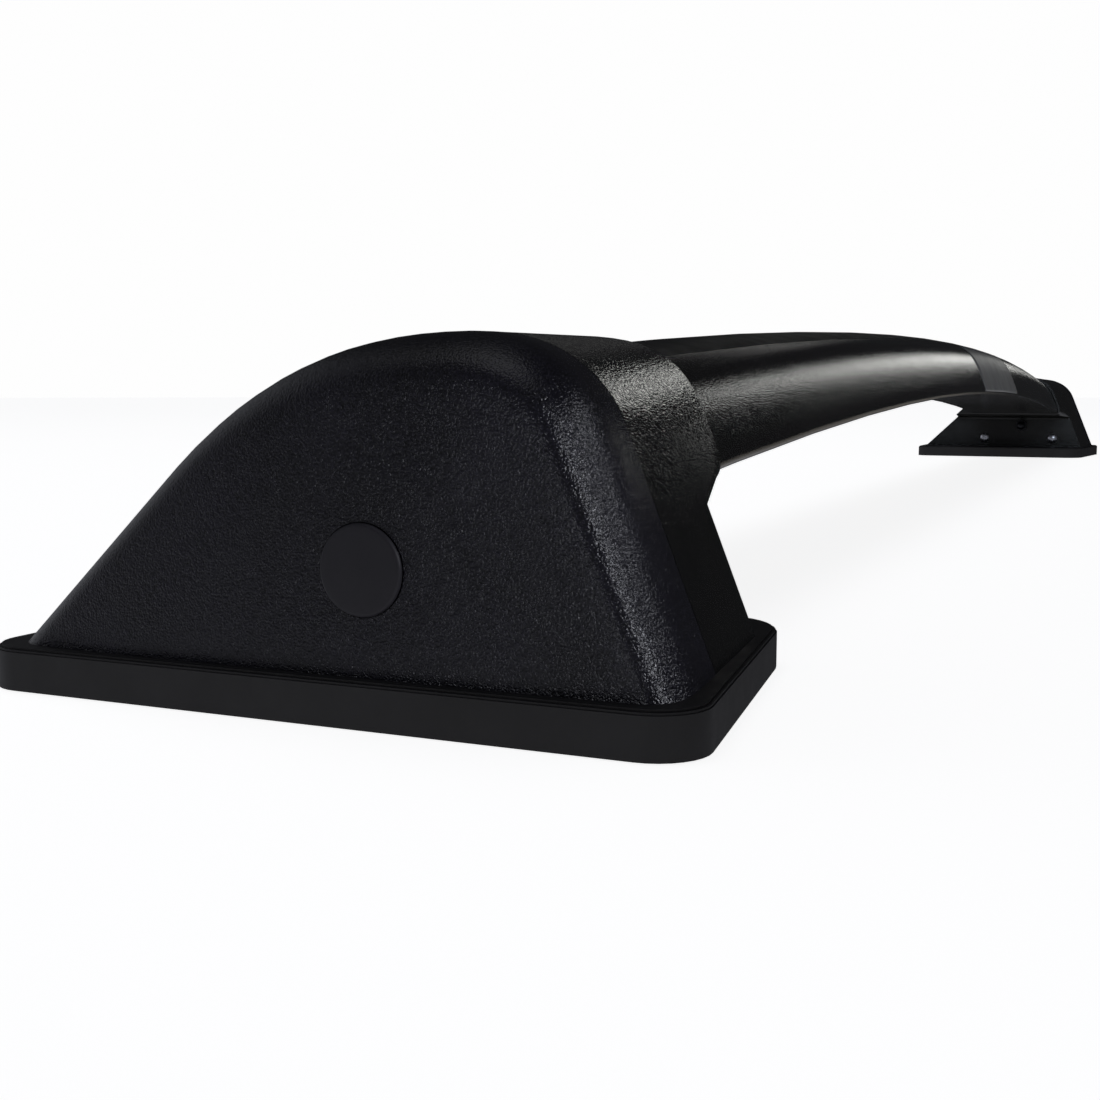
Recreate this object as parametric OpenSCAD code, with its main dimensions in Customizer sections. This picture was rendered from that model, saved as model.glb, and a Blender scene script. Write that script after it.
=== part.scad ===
// Arched roof crossbar with a moulded foot at each end.
// X runs along the bar, Y across it with the long front slope toward +Y, Z up.
// The origin is on the roof, in the middle between the feet.

/* [Rack] */
// Length over both feet, from outer edge to outer edge
rack_length = 1335; // [1200:5:1450]
// Height of the bar's underside above the roof where it leaves a foot
bar_clearance = 44; // [43.4:0.2:45]
// How far the middle of the bar stands above its ends
bar_rise = 19.4; // [14:0.2:24]

/* [Crossbar] */
// Width of the bar's section, nose to tail
bar_width = 82; // [80:0.5:83]
// Height of the bar's section
bar_height = 32.5; // [31.5:0.25:33.5]
// Distance from the nose edge back to the highest line of the bar
crest_from_nose = 38; // [37:0.25:39]
// Place of the blunt nose, measured from the rack's centre line
bar_nose_y = -50; // [-50.5:0.25:-49]
// Wall of the aluminium extrusion
bar_wall = 2.2; // [1.8:0.1:2.6]
// Thickness of the two inner webs
web_t = 2; // [1.6:0.1:2.4]
// Radius of the lower edge under the nose
nose_r = 2.5; // [2:0.25:3.5]
// Radius of the thin tail edge
tail_r = 2.5; // [2.3:0.1:3]

/* [Top slot and strip] */
// Width of the soft strip let into the bar's top
strip_w = 32; // [28:0.5:33]
// Distance from the nose to the strip's edge
strip_from_nose = 17; // [16:0.5:19]
// Depth of the seat for the strip
strip_t = 2; // [1.5:0.1:2.4]
// Opening of the T slot under the strip
slot_mouth_w = 11; // [9:0.5:12]
// Width of the T slot's channel
slot_w = 19; // [17:0.5:20]
// Height of the T slot's channel
slot_h = 7.6; // [6.5:0.1:8]
// Height of the T slot's ceiling above the bar's underside
slot_top = 25; // [24:0.1:25.4]

/* [Foot plan] */
// Width of the gasket along the vehicle
foot_width = 168; // [164:1:176]
// Depth of the gasket along the bar
foot_depth = 108; // [98:1:110]
// Angle by which the rear side narrows toward the middle of the vehicle
rear_taper = 6; // [4:0.5:7]
// Plan radius of the gasket's corners
foot_corner_r = 11; // [8:0.5:14]
// Plan radius of the gasket's corner at the narrow inner end
inner_corner_r = 18; // [12:0.5:22]
// Angle by which the gasket's rear edge narrows
gasket_taper = 7; // [6:0.25:7.5]
// Ledge of gasket left showing outside the cover's face
outer_ledge = 4.5; // [3:0.25:6]
// Ledge of gasket in front of the long slope
front_ledge = 4.9; // [4:0.1:7]
// Ledge of gasket behind the steep side
rear_ledge = 4.7; // [3.5:0.1:6]

/* [Foot shape] */
// Depth of the cover from its face to the seam
cover_depth = 31; // [29:0.5:33]
// Distance from the seam to the leg's inner wall
leg_depth = 45; // [43:0.5:48]
// Length of the hood that sleeves the bar beyond the inner wall
hood_reach = 32.2; // [30:0.2:34]
// Slope of the long front side
front_slope = 44; // [43:0.1:45]
// Lean of the steep rear side from upright
rear_lean = 21.5; // [20:0.1:23]
// Crown of the cover's face in its middle
face_crown = 1; // [0.4:0.1:1.5]
// Thickness of the rubber gasket
gasket_t = 9.5; // [8:0.25:10]

/* [Walls and fits] */
// Wall of the moulded cover
cover_wall = 2.8; // [2.4:0.1:3.2]
// Wall of the leg
leg_wall = 3.2; // [2.8:0.1:3.6]
// Thickness of the leg's inner wall
inner_wall = 3.6; // [3:0.1:4.2]
// Wall of the housing that holds the bar inside the leg
housing_wall = 3; // [2.6:0.1:3.2]
// Floor of the hood under the bar
hood_floor = 2; // [1.8:0.1:2.3]
// Gap between the bar and its sleeve
bore_gap = 0.3; // [0.2:0.05:0.4]
// Gap between cover and leg
seam_gap = 0.4; // [0.3:0.05:0.6]
// Radius of the hood's lower lip
lip_r = 2.5; // [2:0.25:4]
// Wall of the sleeve around the bar's nose at the mouth
nose_wall = 1.6; // [1.4:0.1:2]

/* [Plug cap and its bolt] */
// Diameter of the round plug cap
cap_d = 18.4; // [16:0.2:20]
// Depth of the cap's head
cap_t = 2.6; // [2.2:0.1:3]
// How far the cap stands out of the face
cap_proud = 0.9; // [0.5:0.1:1.2]
// Diameter of the cap's stem
cap_stem_d = 13.6; // [13:0.1:14]
// Place of the cap along the vehicle
cap_y = -14; // [-15:0.5:-13]
// Height of the cap's axis
cap_z = 30.8; // [30:0.2:31]
// Thread diameter of the cover bolt
cover_bolt_d = 6; // [5:0.5:6.5]

/* [Bracket and screws] */
// Thickness of the steel bracket
bracket_t = 3; // [2.5:0.1:3.4]
// Height of the bracket's upright flange above the leg's floor
bracket_h = 10; // [9:0.25:10.2]
// Distance between the two roof bolt holes
roof_bolt_pitch = 76; // [70:1:80]
// Diameter of the roof bolt holes in the bracket
roof_bolt_d = 8.6; // [8:0.1:9]
// Thread diameter of the screws in the leg's inner wall
inner_screw_d = 5; // [4:0.5:5.5]
// Height of those screws above the leg's floor
inner_screw_up = 5.4; // [5.2:0.1:5.8]
// Places of those screws to both sides of the cap's axis
inner_screw_spread = [30, 35];
// Distance from the seam to the screws in the bar's end
screw_from_seam = 32; // [31:0.25:33]
// Thread diameter of the screws that hold the bar
bar_screw_d = 6; // [5:0.5:6.5]

/* [Hidden] */

// Stations along X, counted inward from the gasket's outer edge
half_length = rack_length / 2;
face_s = outer_ledge;
seam_s = face_s + cover_depth;
inner_face_s = seam_s + leg_depth;
mouth_s = inner_face_s + hood_reach;
wall_s = inner_face_s - inner_wall;
function at(s) = s - half_length;

// The bar is bent to one circle, and all that follows it shares its centre
mouth_x = half_length - mouth_s;
arch_r = (mouth_x * mouth_x + bar_rise * bar_rise) / (2 * bar_rise);
arch_z = bar_clearance + bar_rise - arch_r;
function arch_angle(x) = asin(x / arch_r);
function underside(x) = arch_z + sqrt(arch_r * arch_r - x * x);
arch_fn = 2880;

// Foot profile, seen along the bar
foot_top = bar_clearance + bar_height;
half_width = foot_width / 2;
front_toe_y = half_width - front_ledge;
rear_toe_y = -half_width + rear_ledge;
front_bend_z = foot_top - 25.5;
rear_bend_z = foot_top - 17.5;
crest_y = bar_nose_y + 16.7;
crest_shift = 0.226;
crest_climb = 0.028;
skirt_z = -12;
floor_z = gasket_t + leg_wall;

// Fillet between the cover's face and its sides, larger toward the top
fillet_low = [10, 6];
fillet_high = [20, 10];

// Fastener sizes that follow from the threads
bolt_slack = 0.2;
thread_slack = 0.05;
screw_s = seam_s + screw_from_seam;
insert_plate = 6;
insert_end_s = screw_s + 27;
bar_end_s = screw_s - 16;
bar_screw_rows = [bar_nose_y + 10.5, bar_nose_y + bar_width - 19];
gusset_rows = [bar_screw_rows[0] + 13.5, bar_screw_rows[1] + 11];
washer_t = 1.2;
seat_gap = 0.06;
washer_z = -bore_gap - housing_wall - seat_gap - washer_t;
panel_t = 0.8;
panel_top = cap_z + 4.8;
inner_screw_z = floor_z + inner_screw_up;
inner_screw_rows = [cap_y - inner_screw_spread[0], cap_y + inner_screw_spread[1]];
roof_bolt_s = seam_s - 5.5;
bracket_y0 = min(-roof_bolt_pitch / 2, inner_screw_rows[0]) - 10;
bracket_y1 = max(roof_bolt_pitch / 2, inner_screw_rows[1]) + 10;

// Plain geometry helpers
function unit(v) = v / norm(v);
function left_of(v) = [-v[1], v[0]];
function mix(a, b, t) = a + (b - a) * t;
function arc(c, r, a0, a1, n) =
    [for (i = [0:n]) c + r * [cos(mix(a0, a1, i / n)), sin(mix(a0, a1, i / n))]];
function bezier(p, n) =
    [for (i = [0:n]) let (t = i / n, u = 1 - t)
        u * u * u * p[0] + 3 * u * u * t * p[1] + 3 * u * t * t * p[2] + t * t * t * p[3]];

// A closed outline moved outward by g, or inward where g is negative
function grown(pts, g) = let (n = len(pts))
    [for (i = [0:n - 1])
        let (na = left_of(unit(pts[i] - pts[(i + n - 1) % n])),
             nb = left_of(unit(pts[(i + 1) % n] - pts[i])),
             m = unit(na + nb))
        pts[i] + m * g / max(0.5, m * na)];

// Corners rounded by r, one radius or a list of them, for a convex outline
function rounded(corners, r, n) = let (k = len(corners))
    [for (i = [0:k - 1])
        let (p = corners[i],
             q = is_list(r) ? r[i] : r,
             u = unit(corners[(i + k - 1) % k] - p),
             v = unit(corners[(i + 1) % k] - p),
             half = acos(u * v) / 2,
             c = p + unit(u + v) * q / sin(half),
             start = p + u * q / tan(half) - c,
             turn = (u[0] * v[1] - u[1] * v[0] > 0 ? -1 : 1) * (180 - 2 * half),
             a0 = atan2(start[1], start[0]))
        each arc(c, q, a0, a0 + turn, n)];

// Solid through a row of rings, each a list of the same number of 3D points
module loft(rings) {
    n = len(rings[0]);
    k = len(rings);
    sides = [for (j = [0:k - 2]) for (i = [0:n - 1])
        let (a = j * n + i, b = j * n + (i + 1) % n)
        each [[a, b + n, b], [a, a + n, b + n]]];
    first = [for (i = [0:n - 1]) i];
    last = [for (i = [n - 1:-1:0]) (k - 1) * n + i];
    polyhedron(points = [for (ring = rings) each ring], faces = concat([first], sides, [last]));
}

// Outline of the bar: underside, nose, crest, tail
bar_tail_y = bar_nose_y + bar_width;
bar_crest = [bar_nose_y + crest_from_nose, bar_height];
nose_angle = 160.6;
tail_angle = 48.5;
nose_c = [bar_nose_y + nose_r, nose_r];
tail_c = [bar_tail_y - tail_r, tail_r];
nose_end = nose_c + nose_r * [cos(nose_angle), sin(nose_angle)];
tail_start = tail_c + tail_r * [cos(tail_angle), sin(tail_angle)];
nose_up = [sin(nose_angle), -cos(nose_angle)];
tail_back = [-sin(tail_angle), cos(tail_angle)];
bar_top = concat(
    [for (i = [1:16]) bezier([nose_end, nose_end + 24 * nose_up,
        bar_crest - [26, 0], bar_crest], 16)[i]],
    [for (i = [1:12]) bezier([bar_crest, bar_crest + [22, 0],
        tail_start + 16 * tail_back, tail_start], 13)[i]]);
bar_skin = concat(
    arc(tail_c, tail_r, tail_angle, -90, 6),
    arc(nose_c, nose_r, -90, nose_angle - 360, 6),
    bar_top);

// The same outline with a plain lower corner and no thin tail, for everything inside the walls
core_end_y = bar_tail_y - 6;
nose_corner = nose_end - nose_up * nose_end[1] / nose_up[1];
bar_core = concat([[core_end_y, 0], nose_corner], [for (p = bar_top) if (p[0] < core_end_y) p]);

strip_y0 = bar_nose_y + strip_from_nose;
slot_y = strip_y0 + strip_w / 2;

// Rail with the T slot between the inner webs
rail_y0 = slot_y - slot_w / 2 - web_t;
rail_y1 = slot_y + slot_w / 2 + web_t;

// An outline in the bar's own section, turned for the revolve about the arch centre
module section(pts) {
    polygon([for (p = pts) [arch_r + p[1], p[0]]]);
}

// A rectangle in the bar's section
module section_box(y0, y1, z0, z1) {
    section([[y0, z0], [y1, z0], [y1, z1], [y0, z1]]);
}

// Revolves a section about the arch centre from x0 to x1
module along_arch(x0, x1) {
    a0 = arch_angle(x0);
    translate([0, 0, arch_z]) rotate([-90, -90, 0]) rotate([0, 0, a0])
        rotate_extrude(angle = arch_angle(x1) - a0, $fn = arch_fn) children();
}

// Puts a piece on the bar's section at station x, upright to the arch
module on_arch(x, y, z) {
    translate([0, 0, arch_z]) rotate([0, arch_angle(x), 0]) translate([0, y, arch_r + z]) children();
}

// The bar's extrusion in section, with its T slot and three chambers
module bar_section() {
    floor = slot_top - slot_h;
    difference() {
        section(bar_skin);
        difference() {
            intersection() {
                section(grown(bar_skin, 1));
                section_box(strip_y0, strip_y0 + strip_w, slot_top, bar_height + 2);
            }
            section(grown(bar_core, -strip_t));
        }
        section_box(slot_y - slot_mouth_w / 2, slot_y + slot_mouth_w / 2, floor, bar_height + 2);
        section_box(slot_y - slot_w / 2, slot_y + slot_w / 2, floor, slot_top);
        difference() {
            section(grown(bar_core, -bar_wall));
            difference() {
                section_box(strip_y0 - 1.2, strip_y0 + strip_w + 1.2, floor, bar_height + 1);
                section(grown(bar_core, -strip_t - bar_wall));
            }
            section_box(rail_y0, rail_y1, floor - web_t, bar_height);
            section_box(rail_y0, rail_y0 + web_t, 0, bar_height);
            section_box(rail_y1 - web_t, rail_y1, 0, bar_height);
        }
    }
}

// Soft strip with a barbed stem
module strip_section() {
    side_gap = 0.15;
    barb = 1.2;
    stem = slot_mouth_w / 2 - side_gap;
    difference() {
        intersection() {
            section(bar_skin);
            section_box(strip_y0 + side_gap, strip_y0 + strip_w - side_gap, slot_top, bar_height + 1);
        }
        section(grown(bar_core, side_gap - strip_t));
    }
    intersection() {
        section(grown(bar_core, -strip_t / 2));
        section([[slot_y - stem, slot_top - 0.4], [slot_y - stem - barb, slot_top - 0.4],
            [slot_y - stem + 0.8, slot_top - 4], [slot_y + stem - 0.8, slot_top - 4],
            [slot_y + stem + barb, slot_top - 0.4], [slot_y + stem, slot_top - 0.4],
            [slot_y + stem, bar_height], [slot_y - stem, bar_height]]);
    }
}

module crossbar() {
    reach = half_length - bar_end_s;
    color("#26272a") difference() {
        along_arch(-reach, reach) bar_section();
        for (m = [-1, 1]) for (y = bar_screw_rows)
            on_arch(m * (half_length - screw_s), y, -1)
                cylinder(d = bar_screw_d + 2 * bolt_slack, h = bar_wall + 3, $fn = 32);
    }
}

module top_strip() {
    reach = half_length - mouth_s + 10;
    color("#303134") along_arch(-reach, reach) strip_section();
}

// Foot outline at station s, open at the bottom and drawn from the front toe over the crest.
// Its rear shoulder fills out from the seam to the hood's mouth, where it follows the bar.
function foot_chain(s) =
    let (fill = min(1, max(0, (s - seam_s) / (mouth_s - seam_s))),
         rear = tan(rear_taper) * s,
         front_k = 1 / tan(front_slope),
         rear_k = tan(rear_lean),
         bend = [front_toe_y - (front_bend_z - gasket_t) * front_k, front_bend_z],
         shoulder = [rear_toe_y + (rear_bend_z - gasket_t) * rear_k + rear, rear_bend_z],
         crest = [crest_y + crest_shift * s, foot_top + crest_climb * s],
         front_dir = unit([-front_k, 1]),
         rear_dir = unit([rear_k, 1]))
    concat(
        [[bend[0] + (bend[1] - skirt_z) * front_k, skirt_z]],
        bezier([bend, bend + 29.7 * front_dir, crest + [25.4, 0], crest], 13),
        [for (i = [1:13]) bezier([crest, crest - [mix(18, 25, fill), 0],
            shoulder + mix(8, 17, fill) * rear_dir, shoulder], 13)[i]],
        [[shoulder[0] - (shoulder[1] - skirt_z) * rear_k, skirt_z]]);

// Inset of the fillet at depth u behind the face, for a point at height z
function fillet_inset(u, z) =
    let (t = min(1, max(0, (z - gasket_t) / (foot_top - gasket_t))),
         rx = mix(fillet_low[0], fillet_high[0], t),
         re = mix(fillet_low[1], fillet_high[1], t),
         k = 1 - max(0, u) / rx)
    k <= 0 ? 0 : re * (1 - sqrt(1 - k * k));

// Ring of the foot at station s, moved in by e and by the fillet at depth u
function foot_ring(s, e, u) =
    let (p = foot_chain(s), n = len(p))
    [for (i = [0:n - 1])
        let (da = unit(p[max(i, 1)] - p[max(i, 1) - 1]),
             db = unit(p[min(i + 1, n - 1)] - p[min(i + 1, n - 1) - 1]),
             out = unit([da[1] + db[1], -da[0] - db[0]]),
             q = p[i] - out * (e + fillet_inset(u, p[i][1])))
        [at(s), q[0], q[1]]];

// The same ring drawn toward a middle point, for the crowned face
function crown_ring(k) =
    [for (q = foot_ring(face_s, 0, 0))
        [at(face_s) - face_crown * (1 - k * k), mix(-6, q[1], k), mix(32, q[2], k)]];

// The foot's form from the crowned face to the seam
face_depths = [0, 0.25, 0.8, 1.8, 3.2, 5, 7.5, 10.5, 14, 18, 22, 26];
module cover_form() {
    loft(concat(
        [for (k = [0.3, 0.55, 0.75, 0.9]) crown_ring(k)],
        [for (u = face_depths) foot_ring(face_s + u, 0, u)],
        [foot_ring(seam_s, 0, cover_depth)]));
}

// The same form moved in by e from all its faces, running past the seam
core_depths = [0, 0.8, 2.5, 5, 9, 14, 20, 26];
module inner_form(e) {
    loft(concat(
        [for (u = core_depths) foot_ring(face_s + e + u, e, u)],
        [foot_ring(seam_s + 3, e, cover_depth)]));
}

// A box from station s0 to s1
module station_box(s0, s1, y0, y1, z0, z1) {
    translate([at(s0), y0, z0]) cube([s1 - s0, y1 - y0, z1 - z0]);
}

// A round bar along X from station s0 to s1
module station_rod(s0, s1, y, z, d, fn) {
    translate([at(s0), y, z]) rotate([0, 90, 0]) cylinder(d = d, h = s1 - s0, $fn = fn);
}

cover_rib_rows = [rear_toe_y * 0.66, front_toe_y * 0.16, front_toe_y * 0.48];
cap_hole_d = cap_stem_d + 2 * bolt_slack;
cap_seat_d = cap_d + 2 * bolt_slack;
cap_seat_s = face_s - face_crown + cap_t - cap_proud + 0.1;
head_floor_s = face_s + 9;
cover_boss_s = head_floor_s + 3;
head_h = cover_bolt_d * 0.8;
cover_bolt_bore = cover_bolt_d + 2 * bolt_slack;

// Outer shell with the plug cap's seat and the pocket for the cover bolt
module foot_cover() {
    color("#15161c") difference() {
        union() {
            difference() {
                cover_form();
                inner_form(cover_wall);
            }
            intersection() {
                cover_form();
                union() {
                    station_rod(face_s - face_crown, cover_boss_s, cap_y, cap_z, cap_seat_d + 4, 64);
                    for (y = cover_rib_rows)
                        station_box(face_s, face_s + cover_wall + 3, y - 1, y + 1, gasket_t, foot_top);
                    station_box(face_s, face_s + cover_wall + 3, -half_width, half_width, cap_z - 1, cap_z + 1);
                }
            }
        }
        station_box(-5, mouth_s, -foot_width, foot_width, skirt_z - 20, gasket_t);
        station_rod(-5, cap_seat_s, cap_y, cap_z, cap_seat_d, 64);
        station_rod(-5, head_floor_s, cap_y, cap_z, cap_hole_d, 48);
        station_rod(-5, cover_boss_s + 1, cap_y, cap_z, cover_bolt_bore, 32);
    }
}

// Plug cap with a rounded rim and a hollow stem
module foot_cap() {
    head_s = cap_seat_s - 0.1;
    stem_l = head_floor_s - head_h - head_s - 0.8;
    rim = 0.8;
    color("#1b1c20") translate([at(head_s), cap_y, cap_z]) rotate([0, -90, 0]) rotate_extrude($fn = 96)
        polygon(concat(
            [[cap_stem_d / 2 - 1.4, -0.8], [cap_stem_d / 2 - 1.4, -stem_l], [cap_stem_d / 2 - 0.4, -stem_l],
                [cap_stem_d / 2, -stem_l + 1], [cap_stem_d / 2, 0]],
            arc([cap_d / 2 - rim, cap_t - rim], rim, 0, 90, 6),
            [[0, cap_t + 0.25], [0, -0.8]]));
}

// Corners of the gasket in plan, by station and Y
plan_corners = [[0, -half_width], [foot_depth, -half_width + tan(gasket_taper) * foot_depth],
    [foot_depth, half_width], [0, half_width]];

module gasket_plan(inset) {
    c = plan_corners;
    pts = [c[0] + [inset, inset], c[1] + [-inset, inset], c[2] - [inset, inset], c[3] + [inset, -inset]];
    r = [for (full = [foot_corner_r, inner_corner_r, foot_corner_r, foot_corner_r]) full - inset];
    polygon(rounded(pts, r, 8));
}

// Rubber pad with a bevelled rim and shallow grip grooves underneath
module foot_gasket() {
    bevel = 1;
    groove = 1.2;
    groove_end = foot_corner_r + 14;
    color("#1d1d1f") translate([-half_length, 0, 0]) difference() {
        union() {
            linear_extrude(gasket_t - bevel) gasket_plan(0);
            translate([0, 0, gasket_t - bevel]) linear_extrude(bevel / 2) gasket_plan(bevel * 0.3);
            translate([0, 0, gasket_t - bevel / 2]) linear_extrude(bevel / 2) gasket_plan(bevel);
        }
        for (y = [-roof_bolt_pitch / 2, roof_bolt_pitch / 2])
            translate([roof_bolt_s, y, -1]) cylinder(d = roof_bolt_d + 2, h = gasket_t + 2, $fn = 48);
        for (s = [54:9:foot_depth - 12])
            translate([s, -half_width + groove_end, -1]) cube([3, foot_width - 2 * groove_end, 1 + groove]);
    }
}

// Inner leg: frame under the cover, wall toward the vehicle's middle, hood and housing for the bar
module foot_leg() {
    frame_s = face_s + 8;
    tuck = cover_wall + seam_gap;
    cavity_e = tuck + leg_wall;
    house_s = bar_end_s - insert_plate - bore_gap - housing_wall;
    color("#1a1a1c") difference() {
        union() {
            difference() {
                union() {
                    intersection() {
                        inner_form(tuck);
                        station_box(frame_s, seam_s + 2, -foot_width, foot_width, gasket_t, 2 * foot_top);
                    }
                    loft([foot_ring(seam_s + seam_gap, 0, cover_depth), foot_ring(mouth_s, 0, cover_depth)]);
                }
                difference() {
                    loft([foot_ring(face_s - 10, cavity_e + 3, cover_depth),
                        foot_ring(seam_s, cavity_e, cover_depth),
                        foot_ring(wall_s, leg_wall, cover_depth)]);
                    station_box(0, mouth_s, -foot_width, foot_width, skirt_z - 20, floor_z);
                }
            }
            intersection() {
                along_arch(at(house_s), at(wall_s + 1)) section(grown(bar_skin, bore_gap + housing_wall));
                loft([foot_ring(seam_s - 6, tuck, cover_depth), foot_ring(wall_s + 2, 0.5, cover_depth)]);
            }
            station_rod(cover_boss_s + bolt_slack, wall_s + 1, cap_y, cap_z, cover_bolt_d + 8, 48);
            for (y = gusset_rows)
                gusset(y, house_s + 6);
            inner_panel();
        }
        station_box(-5, mouth_s + 5, -foot_width, foot_width, skirt_z - 20, gasket_t);
        hood_cut();
        nose_cut();
        along_arch(at(house_s + housing_wall), at(mouth_s + 8)) section(grown(bar_skin, bore_gap));
        for (y = bar_screw_rows)
            on_arch(at(screw_s), y, -housing_wall - 4) cylinder(d = bar_screw_d + 2 * bolt_slack, h = 10, $fn = 32);
        station_rod(face_s, inner_face_s + 5, cap_y, cap_z, cover_bolt_bore, 32);
        for (y = inner_screw_rows)
            station_rod(wall_s - 5, inner_face_s + 5, y, inner_screw_z, inner_screw_d + 2 * bolt_slack, 32);
        for (y = [-roof_bolt_pitch / 2, roof_bolt_pitch / 2])
            translate([at(roof_bolt_s), y, 0]) cylinder(d = roof_bolt_d + 1, h = floor_z + 2, $fn = 48);
    }
}

// Web that stiffens the housing against the inner wall
module gusset(y, s0) {
    low = floor_z + bracket_h + 1;
    high = underside(at(wall_s)) - 1;
    translate([0, y + 1.3, 0]) rotate([90, 0, 0]) linear_extrude(2.6)
        polygon([[at(wall_s + 1), low], [at(wall_s + 1), high], [at(s0), high], [at(s0), high - 6]]);
}

// Raised lower panel on the inner wall, where the screws sit
module inner_panel() {
    intersection() {
        loft([foot_ring(wall_s, 2, cover_depth), foot_ring(inner_face_s + 3, 2, cover_depth)]);
        station_box(wall_s, inner_face_s + panel_t, -foot_width, foot_width, gasket_t + 2, panel_top);
    }
}

// Space under the hood: inner wall, small fillet, sloping underside and rounded lip
module hood_cut() {
    r = 2.5;
    x0 = at(inner_face_s);
    x1 = at(mouth_s);
    zu = underside(x0) - bore_gap - hood_floor;
    zl = underside(x1 - lip_r) - bore_gap - hood_floor;
    rise = (zl - zu) / (x1 - lip_r - x0);
    difference() {
        translate([0, foot_width, 0]) rotate([90, 0, 0]) linear_extrude(2 * foot_width)
            polygon(concat([[x0, skirt_z - 2]],
                arc([x0 + r, zu - r + r * rise], r, 180, 90, 5),
                arc([x1 - lip_r, zl + lip_r], lip_r, -90, 0, 6),
                [[x1 + 10, zl + lip_r], [x1 + 10, skirt_z - 2]]));
        inner_panel();
    }
}

// Corner taken off under the hood, so that its mouth wraps round the bar's nose
module nose_cut() {
    top = 12;
    wide = foot_width;
    loft([for (i = [0:6])
        let (t = i / 6,
             x = mix(at(inner_face_s), at(mouth_s), t),
             r = nose_r + bore_gap + mix(rear_ledge + 5, nose_wall, t),
             up = underside(x))
        concat([[x + (i == 6 ? 1 : 0), nose_c[0], up - top]],
            [for (q = arc(nose_c, r, -90, -180, 8)) [x + (i == 6 ? 1 : 0), q[0], up + q[1]]],
            [for (q = [[nose_c[0] - r, top], [nose_c[0] - wide, top], [nose_c[0] - wide, -top]])
                [x + (i == 6 ? 1 : 0), q[0], up + q[1]]])]);
}

// Steel angle that the roof bolts clamp, with a bend at the inner wall
module foot_bracket() {
    s0 = roof_bolt_s - 14;
    bend = 2;
    out_r = bend + bracket_t;
    x1 = at(wall_s);
    profile = concat([[at(s0), floor_z]],
        arc([x1 - out_r, floor_z + out_r], out_r, -90, 0, 6),
        [[x1, floor_z + bracket_h], [x1 - bracket_t, floor_z + bracket_h]],
        arc([x1 - out_r, floor_z + out_r], bend, 0, -90, 6),
        [[at(s0), floor_z + bracket_t]]);
    color("#8c8f94") difference() {
        translate([0, bracket_y1, 0]) rotate([90, 0, 0]) linear_extrude(bracket_y1 - bracket_y0) polygon(profile);
        for (y = [-roof_bolt_pitch / 2, roof_bolt_pitch / 2])
            translate([at(roof_bolt_s), y, floor_z - 1]) cylinder(d = roof_bolt_d, h = bracket_t + 2, $fn = 48);
        for (y = inner_screw_rows)
            station_rod(wall_s - bracket_t - 2, wall_s + 1, y, inner_screw_z,
                inner_screw_d + 2 * thread_slack, 32);
    }
}

// Cast tongue: a plate behind the bar's end with one prong in each outer chamber
module foot_bar_insert() {
    play = 0.3;
    color("#9a9da1") difference() {
        union() {
            along_arch(at(bar_end_s - insert_plate), at(bar_end_s - seat_gap)) section(grown(bar_core, -1));
            along_arch(at(bar_end_s - 1), at(insert_end_s)) difference() {
                section(grown(bar_core, -bar_wall - play));
                difference() {
                    section_box(strip_y0 - 1.2 - play, strip_y0 + strip_w + 1.2 + play, web_t, bar_height + 1);
                    section(grown(bar_core, -strip_t - bar_wall - play));
                }
                section_box(rail_y0 - play, rail_y1 + play, -1, bar_height + 1);
            }
        }
        for (y = bar_screw_rows)
            on_arch(at(screw_s), y, -1) cylinder(d = bar_screw_d + 2 * thread_slack, h = 14, $fn = 32);
    }
}

// Screws from below through the housing's floor, the bar and the tongue
module foot_bar_screws() {
    color("#55585c") for (y = bar_screw_rows)
        on_arch(at(screw_s), y, washer_z) {
            cylinder(d = bar_screw_d, h = 16, $fn = 48);
            translate([0, 0, -4]) difference() {
                cylinder(d = bar_screw_d + 4, h = 4, $fn = 48);
                translate([0, 0, -1]) cylinder(d = bar_screw_d * 0.83, h = 3.4, $fn = 6);
            }
        }
}

module foot_bar_washers() {
    color("#6d7074") for (y = bar_screw_rows)
        on_arch(at(screw_s), y, washer_z) difference() {
            cylinder(d = bar_screw_d * 2 + 1, h = washer_t, $fn = 48);
            translate([0, 0, -1]) cylinder(d = bar_screw_d + bolt_slack, h = washer_t + 2, $fn = 48);
        }
}

// Domed screws in the inner wall, with a cross recess
module foot_inner_screws() {
    head_r = inner_screw_d * 0.92;
    head_l = inner_screw_d * 0.62;
    color("#b9bcc1") for (y = inner_screw_rows)
        translate([at(inner_face_s + panel_t), y, inner_screw_z]) rotate([0, 90, 0]) difference() {
            union() {
                translate([0, 0, -inner_wall - panel_t - bracket_t - 1])
                    cylinder(d = inner_screw_d, h = inner_wall + panel_t + bracket_t + 1.5, $fn = 48);
                rotate_extrude($fn = 64) polygon(concat([[0, 0], [head_r, 0], [head_r, 0.6]],
                    bezier([[head_r, 0.6], [head_r, 2], [head_r * 0.6, head_l], [0, head_l]], 8)));
            }
            for (a = [0, 90])
                rotate([0, 0, a]) translate([-2.4, -0.45, head_l - 1.5]) cube([4.8, 0.9, 3]);
        }
}

// Long bolt under the plug cap, drawn through the foot to the nut on the inner wall
module foot_cover_bolt() {
    color("#55585c") translate([at(head_floor_s), cap_y, cap_z]) rotate([0, 90, 0]) {
        cylinder(d = cover_bolt_d, h = inner_face_s + panel_t - head_floor_s + 4.5, $fn = 48);
        translate([0, 0, -head_h]) difference() {
            cylinder(d = cover_bolt_d + 4, h = head_h, $fn = 48);
            translate([0, 0, -1]) cylinder(d = cover_bolt_d * 0.83, h = 3.6, $fn = 6);
        }
    }
}

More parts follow.
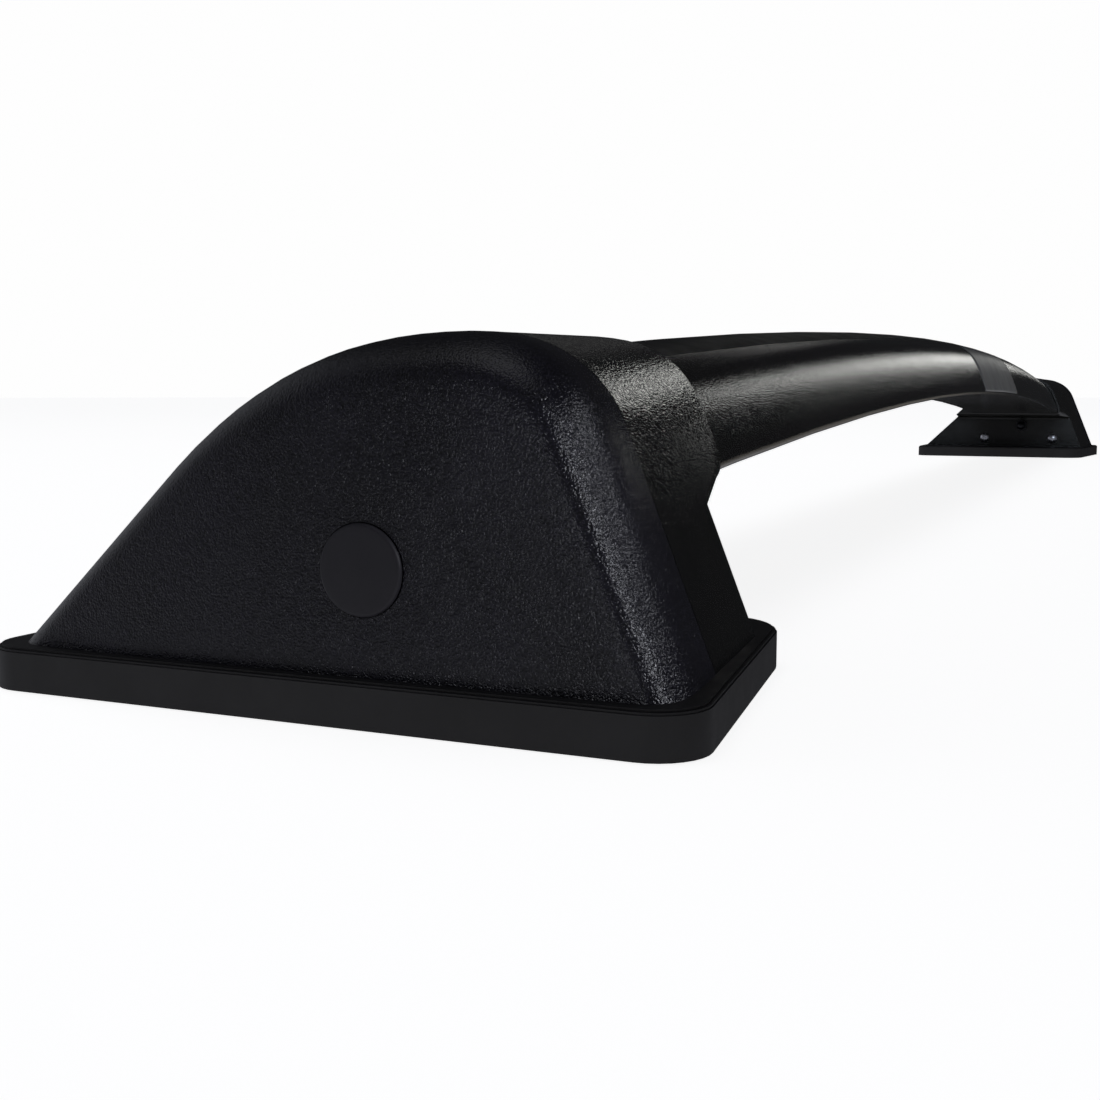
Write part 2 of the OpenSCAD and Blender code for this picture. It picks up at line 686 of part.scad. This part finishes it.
module foot_cover_nut() {
    flat = cover_bolt_d * 1.55;
    body = 4.6;
    color("#2b2c30") translate([at(inner_face_s + panel_t), cap_y, cap_z]) rotate([0, 90, 0]) difference() {
        union() {
            cylinder(d = flat / cos(30), h = body, $fn = 6);
            cylinder(d = cover_bolt_d + 3, h = body + 0.6, $fn = 48);
            translate([0, 0, body]) rotate_extrude($fn = 48)
                polygon(concat([[0, 0]], arc([0, 0], cover_bolt_d / 2 + 1.2, 0, 90, 8)));
        }
        translate([0, 0, -1]) cylinder(d = cover_bolt_d + 2 * thread_slack, h = body + 1, $fn = 48);
    }
}

module left_leg() { foot_leg(); }
module left_cover() { foot_cover(); }
module left_cap() { foot_cap(); }
module left_gasket() { foot_gasket(); }
module left_bracket() { foot_bracket(); }
module left_bar_insert() { foot_bar_insert(); }
module left_bar_screws() { foot_bar_screws(); }
module left_bar_washers() { foot_bar_washers(); }
module left_inner_screws() { foot_inner_screws(); }
module left_cover_bolt() { foot_cover_bolt(); }
module left_cover_nut() { foot_cover_nut(); }

module right_leg() { mirror([1, 0, 0]) foot_leg(); }
module right_cover() { mirror([1, 0, 0]) foot_cover(); }
module right_cap() { mirror([1, 0, 0]) foot_cap(); }
module right_gasket() { mirror([1, 0, 0]) foot_gasket(); }
module right_bracket() { mirror([1, 0, 0]) foot_bracket(); }
module right_bar_insert() { mirror([1, 0, 0]) foot_bar_insert(); }
module right_bar_screws() { mirror([1, 0, 0]) foot_bar_screws(); }
module right_bar_washers() { mirror([1, 0, 0]) foot_bar_washers(); }
module right_inner_screws() { mirror([1, 0, 0]) foot_inner_screws(); }
module right_cover_bolt() { mirror([1, 0, 0]) foot_cover_bolt(); }
module right_cover_nut() { mirror([1, 0, 0]) foot_cover_nut(); }

crossbar();
top_strip();
left_leg();
left_cover();
left_cap();
left_gasket();
left_bracket();
left_bar_insert();
left_bar_screws();
left_bar_washers();
left_inner_screws();
left_cover_bolt();
left_cover_nut();
right_leg();
right_cover();
right_cap();
right_gasket();
right_bracket();
right_bar_insert();
right_bar_screws();
right_bar_washers();
right_inner_screws();
right_cover_bolt();
right_cover_nut();
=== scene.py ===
import math

import bmesh
import bpy
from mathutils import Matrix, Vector


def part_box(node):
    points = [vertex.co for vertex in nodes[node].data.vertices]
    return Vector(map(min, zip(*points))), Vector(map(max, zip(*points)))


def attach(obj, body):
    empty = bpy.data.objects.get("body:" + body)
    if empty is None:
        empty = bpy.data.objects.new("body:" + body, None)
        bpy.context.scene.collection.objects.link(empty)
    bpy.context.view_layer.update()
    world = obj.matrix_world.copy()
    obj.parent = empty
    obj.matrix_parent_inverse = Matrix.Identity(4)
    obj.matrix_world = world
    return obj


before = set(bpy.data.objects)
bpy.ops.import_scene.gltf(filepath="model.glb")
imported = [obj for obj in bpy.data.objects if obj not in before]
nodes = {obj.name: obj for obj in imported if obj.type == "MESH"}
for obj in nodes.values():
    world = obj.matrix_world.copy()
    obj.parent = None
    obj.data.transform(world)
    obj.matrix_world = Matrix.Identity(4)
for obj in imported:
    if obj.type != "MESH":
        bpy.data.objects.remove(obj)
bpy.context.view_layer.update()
scene = bpy.context.scene


# Materials
class Look:
    """A short way to write the node tree of one material."""

    def __init__(self, name, colour, rough, metallic=0.0, specular=0.5):
        self.mat = bpy.data.materials.new(name)
        self.mat.use_nodes = True
        self.mat.diffuse_color = (*colour, 1.0)
        self.tree = self.mat.node_tree
        self.shader = self.tree.nodes["Principled BSDF"]
        self.shader.inputs["Base Color"].default_value = (*colour, 1.0)
        self.shader.inputs["Roughness"].default_value = rough
        self.shader.inputs["Metallic"].default_value = metallic
        self.shader.inputs["Specular IOR Level"].default_value = specular
        self.place = self.tree.nodes.new("ShaderNodeTexCoord").outputs["Object"]

    def link(self, source, target):
        self.tree.links.new(source, target)

    def noise(self, scale, detail=2.0, rough=0.5, place=None):
        """Noise from 0 to 1, with features about 1 / scale metres wide."""
        node = self.tree.nodes.new("ShaderNodeTexNoise")
        node.inputs["Scale"].default_value = scale
        node.inputs["Detail"].default_value = detail
        node.inputs["Roughness"].default_value = rough
        self.link(place or self.place, node.inputs["Vector"])
        return node.outputs["Fac"]

    def stretched(self, along):
        """Texture place whose pattern is drawn out along the bar, more so the smaller the number."""
        node = self.tree.nodes.new("ShaderNodeMapping")
        node.inputs["Scale"].default_value = (along, 1, 1)
        self.link(self.place, node.inputs["Vector"])
        return node.outputs["Vector"]

    def math(self, kind, first, second):
        node = self.tree.nodes.new("ShaderNodeMath")
        node.operation = kind
        for socket, value in zip(node.inputs, (first, second)):
            if isinstance(value, (int, float)):
                socket.default_value = value
            else:
                self.link(value, socket)
        return node.outputs["Value"]

    def spread(self, fac, low, high, start=0.3, stop=0.7):
        """Turns a pattern from start to stop into values from low to high."""
        node = self.tree.nodes.new("ShaderNodeMapRange")
        node.inputs["From Min"].default_value = start
        node.inputs["From Max"].default_value = stop
        node.inputs["To Min"].default_value = low
        node.inputs["To Max"].default_value = high
        self.link(fac, node.inputs["Value"])
        return node.outputs["Result"]

    def tint(self, fac, low, high, start=0.3, stop=0.7):
        """Colours the surface from low to high by a pattern."""
        node = self.tree.nodes.new("ShaderNodeValToRGB")
        node.color_ramp.elements[0].position = start
        node.color_ramp.elements[1].position = stop
        node.color_ramp.elements[0].color = (*low, 1.0)
        node.color_ramp.elements[1].color = (*high, 1.0)
        self.link(fac, node.inputs["Fac"])
        self.link(node.outputs["Color"], self.shader.inputs["Base Color"])

    def rough(self, value):
        self.link(value, self.shader.inputs["Roughness"])

    def bump(self, height, depth):
        """Relief from a pattern; depth in metres."""
        node = self.tree.nodes.new("ShaderNodeBump")
        node.inputs["Strength"].default_value = 1.0
        node.inputs["Distance"].default_value = depth
        self.link(height, node.inputs["Height"])
        self.link(node.outputs["Normal"], self.shader.inputs["Normal"])


def grained(name, low, high, rough, specular, grain, depth, along=1.0):
    """Moulded plastic with a fine pebbled grain; grain and depth in metres."""
    stain_share, pebble_share, swell_share = 0.4, 0.6, 0.5
    rough_swing = 0.07
    look = Look(name, high, rough, specular=specular)
    pebbles = look.noise(1 / grain, detail=1, place=look.stretched(along))
    swell = look.noise(0.3 / grain)
    stain = look.noise(30, detail=6, rough=0.62)
    weak_stain = look.math("MULTIPLY", stain, stain_share)
    strong_pebbles = look.math("MULTIPLY", pebbles, pebble_share)
    look.tint(look.math("ADD", weak_stain, strong_pebbles), low, high, start=0.38, stop=0.62)
    look.bump(look.math("ADD", pebbles, look.math("MULTIPLY", swell, swell_share)), depth)
    rubbed = look.math("ADD", look.noise(55, detail=5, rough=0.65), pebbles)
    look.rough(look.spread(rubbed, rough - rough_swing, rough + rough_swing, start=0.7, stop=1.3))
    return look.mat


def coated(name, low, high, rough, specular, wear):
    """Powder coat on an extrusion: fine orange peel and faint drawing lines along the bar."""
    line_share = 0.2
    look = Look(name, high, rough, specular=specular)
    look.tint(look.noise(18, detail=5, rough=0.55), low, high)
    lines = look.noise(700, place=look.stretched(0.02))
    peel = look.noise(2400, detail=1, place=look.stretched(0.36))
    look.bump(look.math("ADD", look.math("MULTIPLY", lines, line_share), peel), depth=0.00007)
    look.rough(look.spread(look.noise(40, detail=4, rough=0.6), rough - wear, rough + wear))
    return look.mat


def soft(name, low, high, rough, specular, grain, depth):
    """Rubber or matte plastic with a faint dusty mottling; grain and depth in metres."""
    rough_swing = 0.07
    look = Look(name, high, rough, specular=specular)
    look.tint(look.noise(26, detail=7, rough=0.66), low, high)
    look.bump(look.noise(1 / grain, detail=4, rough=0.6), depth)
    dust = look.noise(70, detail=4, rough=0.6)
    look.rough(look.spread(dust, rough - rough_swing, rough + rough_swing))
    return look.mat


def metal(name, low, high, rough, grain=2600):
    """Bare or plated metal; grain is the number of marks in a metre."""
    smoother, rougher = 0.08, 0.1
    look = Look(name, high, rough, metallic=1.0)
    look.tint(look.noise(420, detail=4, rough=0.6), low, high)
    look.bump(look.noise(grain, detail=3, rough=0.6), depth=0.00002)
    rubbed = look.noise(600, detail=3, rough=0.6)
    look.rough(look.spread(rubbed, rough - smoother, rough + rougher))
    return look.mat


looks = {
    "cover": grained(
        "cover_plastic", low=(0.0027, 0.0026, 0.0034), high=(0.0090, 0.0085, 0.0134),
        rough=0.2, specular=0.32, grain=0.00046, depth=0.00019),
    "leg": grained(
        "leg_plastic", low=(0.0030, 0.0030, 0.0029), high=(0.0095, 0.0095, 0.0090),
        rough=0.15, specular=0.35, grain=0.00050, depth=0.00016, along=0.36),
    "cap": soft(
        "cap_plastic", low=(0.0125, 0.012, 0.0155), high=(0.0165, 0.0155, 0.0205),
        rough=0.48, specular=0.3, grain=0.0004, depth=0.00001),
    "gasket": soft(
        "gasket_rubber", low=(0.0145, 0.014, 0.015), high=(0.020, 0.0195, 0.0215),
        rough=0.6, specular=0.3, grain=0.0012, depth=0.00002),
    "bar": coated(
        "bar_coating", low=(0.007, 0.007, 0.007), high=(0.010, 0.010, 0.0102),
        rough=0.13, specular=0.35, wear=0.02),
    "strip": soft(
        "strip_rubber", low=(0.013, 0.013, 0.0135), high=(0.019, 0.019, 0.0195),
        rough=0.42, specular=0.35, grain=0.0007, depth=0.00003),
    "bracket": metal("zinc_steel", (0.42, 0.43, 0.44), (0.6, 0.61, 0.62), rough=0.36, grain=900),
    "insert": metal("cast_aluminium", (0.46, 0.47, 0.48), (0.62, 0.63, 0.64), rough=0.45, grain=900),
    "washer": metal("washer_steel", (0.42, 0.43, 0.44), (0.56, 0.57, 0.58), rough=0.34),
    "bright": metal("bright_zinc", (0.68, 0.69, 0.74), (0.86, 0.87, 0.93), rough=0.26),
    "dark": metal("dark_zinc", (0.10, 0.10, 0.11), (0.17, 0.17, 0.18), rough=0.38),
    "nut": metal("black_oxide", (0.03, 0.03, 0.034), (0.055, 0.055, 0.06), rough=0.42),
    # Label film: its pale colour is partly the label's own tone and partly a painted reflection,
    # made lighter to stand in for the light the band catches
    "film": soft(
        "label_film_painted_reflection", low=(0.13, 0.135, 0.145), high=(0.16, 0.165, 0.175),
        rough=0.42, specular=0.5, grain=0.002, depth=0.00001),
}

node_looks = {"crossbar": "bar", "top_strip": "strip"}
for side in ("left_", "right_"):
    for piece, look_name in (
        ("leg", "leg"), ("cover", "cover"), ("cap", "cap"), ("gasket", "gasket"),
        ("bracket", "bracket"), ("bar_insert", "insert"), ("bar_screws", "dark"),
        ("bar_washers", "washer"), ("inner_screws", "bright"), ("cover_bolt", "dark"),
        ("cover_nut", "nut"),
    ):
        node_looks[side + piece] = look_name

same_point = 1e-6
sharp_angle = 24


def smooth_with_edges(obj):
    """Smooth shading, with every edge sharper than sharp_angle kept crisp."""
    if "custom_normal" in obj.data.attributes:
        obj.data.attributes.remove(obj.data.attributes["custom_normal"])
    obj.data.polygons.foreach_set("use_smooth", [True] * len(obj.data.polygons))
    weld = obj.modifiers.new("weld", "WELD")
    weld.merge_threshold = same_point
    split = obj.modifiers.new("edges", "EDGE_SPLIT")
    split.split_angle = math.radians(sharp_angle)


for name, obj in nodes.items():
    mat = looks[node_looks[name]]
    if not obj.material_slots:
        obj.data.materials.append(mat)
    for slot in obj.material_slots:
        slot.material = mat
    smooth_with_edges(obj)


# Blank film band stuck round the bar's front side, between the strip's edge and the nose
film_from, film_to = -0.010, 0.172
film_thick = 0.00015
film_short_of_strip = 0.0008
nose_reach = 0.012
# Limits on a face's outward direction: toward the front, off the ends, off the underside, rising
front_tilt, end_tilt, under_tilt, rising_tilt = -0.25, 0.3, -0.3, 0.1
strip_low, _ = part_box("top_strip")
bar_low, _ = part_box("crossbar")
nose_y = bar_low[1]
film_back = strip_low[1] - film_short_of_strip


def cut_away(mesh, point, direction):
    """Cuts the mesh at a point and drops what lies behind it, seen along the direction."""
    bmesh.ops.bisect_plane(
        mesh, geom=mesh.verts[:] + mesh.edges[:] + mesh.faces[:],
        plane_co=point, plane_no=direction, clear_inner=True)


def film_covers(face):
    """True for the bar's outer front side, from the nose up to the strip."""
    normal = face.normal
    faces_front = normal.y < front_tilt and abs(normal.x) < end_tilt and normal.z > under_tilt
    near_nose = face.calc_center_median().y < nose_y + nose_reach
    return faces_front and (near_nose or normal.z > rising_tilt)


bm = bmesh.new()
bm.from_mesh(nodes["crossbar"].data)
bmesh.ops.remove_doubles(bm, verts=bm.verts, dist=same_point)
cut_away(bm, (film_from, 0, 0), (1, 0, 0))
cut_away(bm, (film_to, 0, 0), (-1, 0, 0))
cut_away(bm, (0, film_back, 0), (0, -1, 0))
bm.normal_update()
bmesh.ops.delete(bm, geom=[face for face in bm.faces if not film_covers(face)], context="FACES")
film_mesh = bpy.data.meshes.new("film_band")
bm.to_mesh(film_mesh)
bm.free()
film = bpy.data.objects.new("film_band", film_mesh)
scene.collection.objects.link(film)
film_mesh.materials.append(looks["film"])
film_mesh.polygons.foreach_set("use_smooth", [True] * len(film_mesh.polygons))
thick = film.modifiers.new("thick", "SOLIDIFY")
thick.thickness = film_thick
thick.offset = 1.0
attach(film, "root")


# Floor: a wide pale disc that glows a little and stays out of the reflections
floor_radius = 14
floor_drop = 0.0002
floor_glow = 0.86
floor_mesh = bpy.data.meshes.new("floor")
bm = bmesh.new()
bmesh.ops.create_circle(bm, cap_ends=True, segments=96, radius=floor_radius)
bm.to_mesh(floor_mesh)
bm.free()
floor = bpy.data.objects.new("floor", floor_mesh)
floor.location = (0, 0, -floor_drop)
floor.visible_glossy = False
scene.collection.objects.link(floor)
paper = Look("floor_paper", (0.82, 0.82, 0.82), 0.95, specular=0.0)
paper.tint(paper.noise(3), (0.81, 0.81, 0.81), (0.83, 0.83, 0.83))
paper.shader.inputs["Emission Color"].default_value = (1, 1, 1, 1)
paper.shader.inputs["Emission Strength"].default_value = floor_glow
floor.data.materials.append(paper.mat)

# World: nearly white for the camera, a dim room for everything else
world = bpy.data.worlds.new("studio")
scene.world = world
world.use_nodes = True
tree = world.node_tree
seen = tree.nodes["Background"]
seen.inputs["Color"].default_value = (1.0, 1.0, 1.0, 1.0)
seen.inputs["Strength"].default_value = 0.99
dim = tree.nodes.new("ShaderNodeBackground")
dim.inputs["Color"].default_value = (0.9, 0.92, 1.0, 1.0)
way = tree.nodes.new("ShaderNodeTexCoord").outputs["Generated"]
parts = tree.nodes.new("ShaderNodeSeparateXYZ")
tree.links.new(way, parts.inputs["Vector"])


def fall(axis, start, stop, low, high):
    """Brightness that changes with one part of the direction, from low at start to high at stop."""
    node = tree.nodes.new("ShaderNodeMapRange")
    node.inputs["From Min"].default_value = start
    node.inputs["From Max"].default_value = stop
    node.inputs["To Min"].default_value = low
    node.inputs["To Max"].default_value = high
    tree.links.new(parts.outputs[axis], node.inputs["Value"])
    return node.outputs["Result"]


def plus(first, second):
    node = tree.nodes.new("ShaderNodeMath")
    tree.links.new(first, node.inputs[0])
    tree.links.new(second, node.inputs[1])
    return node.outputs["Value"]


# Brighter behind the camera, then at the far side, overhead and toward the pale floor
room = fall("X", start=-0.9, stop=0.3, low=0.10, high=0.018)
room = plus(room, fall("Y", start=0.6, stop=0.9, low=0.0, high=0.3))
room = plus(room, fall("Z", start=0.88, stop=1.0, low=0.0, high=0.5))
room = plus(room, fall("Z", start=-0.16, stop=-0.3, low=0.0, high=0.35))
tree.links.new(room, dim.inputs["Strength"])
ray = tree.nodes.new("ShaderNodeLightPath")
mix = tree.nodes.new("ShaderNodeMixShader")
tree.links.new(ray.outputs["Is Camera Ray"], mix.inputs["Fac"])
tree.links.new(dim.outputs["Background"], mix.inputs[1])
tree.links.new(seen.outputs["Background"], mix.inputs[2])
tree.links.new(mix.outputs["Shader"], tree.nodes["World Output"].inputs["Surface"])
scene.view_settings.view_transform = "Standard"


def direction(azimuth, elevation):
    """Unit vector from two angles in degrees."""
    az, el = math.radians(azimuth), math.radians(elevation)
    return Vector((math.cos(el) * math.cos(az), math.cos(el) * math.sin(az), math.sin(el)))


def area(name, seen_from, azimuth, elevation, distance, wide, high, radiance,
         colour=(1, 1, 1), roll=0, only=()):
    """Soft box placed by the direction in which the object sees it; its size is in degrees.

    With only, it reaches just those objects, as with a flag on its stand.
    """
    away = direction(azimuth, elevation)
    light = bpy.data.lights.new(name + "_light", "AREA")
    light.shape = "RECTANGLE"
    light.size = 2 * distance * math.tan(math.radians(wide / 2))
    light.size_y = 2 * distance * math.tan(math.radians(high / 2))
    light.energy = radiance * math.pi * light.size * light.size_y
    light.color = colour
    box = bpy.data.objects.new(name + "_light", light)
    box.location = Vector(seen_from) + away * distance
    turn = (-away).to_track_quat("-Z", "Y").to_euler()
    turn.rotate_axis("Z", math.radians(roll))
    box.rotation_euler = turn
    box.visible_camera = False
    scene.collection.objects.link(box)
    if only:
        group = bpy.data.collections.new(name + "_on")
        for member in only:
            group.objects.link(member)
        box.light_linking.receiver_collection = group


leg_low, leg_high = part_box("left_leg")
bar_side = (-0.3, bar_low[1], 0.07)
leg_side = (leg_high[0] - 0.04, bar_low[1], 0.065)
cover_edge = (leg_low[0], bar_low[1] - 0.014, 0.04)
far_side = (leg_high[0] + 1.1, 0, 0.04)
under_bar = (0, -0.13, 0.06)
warm, cool, blue, sand = (1.0, 1.0, 0.96), (0.9, 0.92, 1.0), (0.78, 0.88, 1.0), (1.0, 0.92, 0.8)
bar_parts = [nodes["crossbar"], nodes["top_strip"], film]
near_leg = [nodes["left_leg"]]
near_cover = [nodes["left_cover"]]
near_cover_and_cap = [nodes["left_cover"], nodes["left_cap"]]
far_foot = [obj for name, obj in nodes.items() if name.startswith("right_")]

# Beyond the far foot: the bands and the faint ridge and crest on the bar and the near leg
area("bar_band", bar_side, azimuth=-8.3, elevation=12.6, distance=6, wide=21, high=2.6,
     radiance=1.85, colour=warm, roll=-43.4, only=bar_parts)
area("leg_band", leg_side, azimuth=2.2, elevation=14.3, distance=6, wide=6.0, high=8.0,
     radiance=2.0, colour=warm, only=near_leg)
area("ridge", bar_side, azimuth=11, elevation=16.5, distance=6, wide=12, high=3,
     radiance=0.35, colour=warm, only=bar_parts)
area("crest", leg_side, azimuth=20, elevation=12.2, distance=6, wide=7, high=3,
     radiance=0.14, colour=warm, only=near_leg)
# To the right of the camera: the rounded edge of the near cover, high and low
area("edge_high", cover_edge, azimuth=-46, elevation=26, distance=2.5, wide=12, high=9,
     radiance=8.0, colour=cool, only=near_cover_and_cap)
area("edge_low", cover_edge, azimuth=-100, elevation=23.5, distance=2.5, wide=15, high=9,
     radiance=27.0, colour=cool, only=near_cover_and_cap)
# Behind the camera: a faint lift on the cover's face, then the far foot's wall and screws
area("face", cover_edge, azimuth=178, elevation=2, distance=1.0, wide=12, high=6,
     radiance=11.0, colour=cool, only=near_cover)
area("far_foot", far_side, azimuth=186, elevation=14, distance=1.6, wide=24, high=16,
     radiance=3.5, colour=blue, only=far_foot)
# Just above the floor: the pale floor as the bar's underside sees it
area("under", under_bar, azimuth=0, elevation=-90, distance=0.058, wide=165, high=120,
     radiance=0.16, colour=sand, only=bar_parts)
# Overhead: the floor and the shadows
area("top", (-0.1, 0, 0), azimuth=130, elevation=80, distance=2.6, wide=50, high=40,
     radiance=0.25)

# Camera, fitted to the photo; its focal length was found in pixels of the photo
photo_px = 1100
focal_px = 1391
sensor_mm = 36
camera_yaw, camera_pitch = 24.16, -6.52
cam_data = bpy.data.cameras.new("camera")
cam_data.lens = focal_px / photo_px * sensor_mm
cam_data.sensor_width = sensor_mm
cam_data.clip_start = 0.01
cam = bpy.data.objects.new("camera", cam_data)
cam.location = (-0.8923, -0.1564, 0.0652)
cam.rotation_euler = direction(camera_yaw, camera_pitch).to_track_quat("-Z", "Y").to_euler()
scene.collection.objects.link(cam)
scene.camera = cam
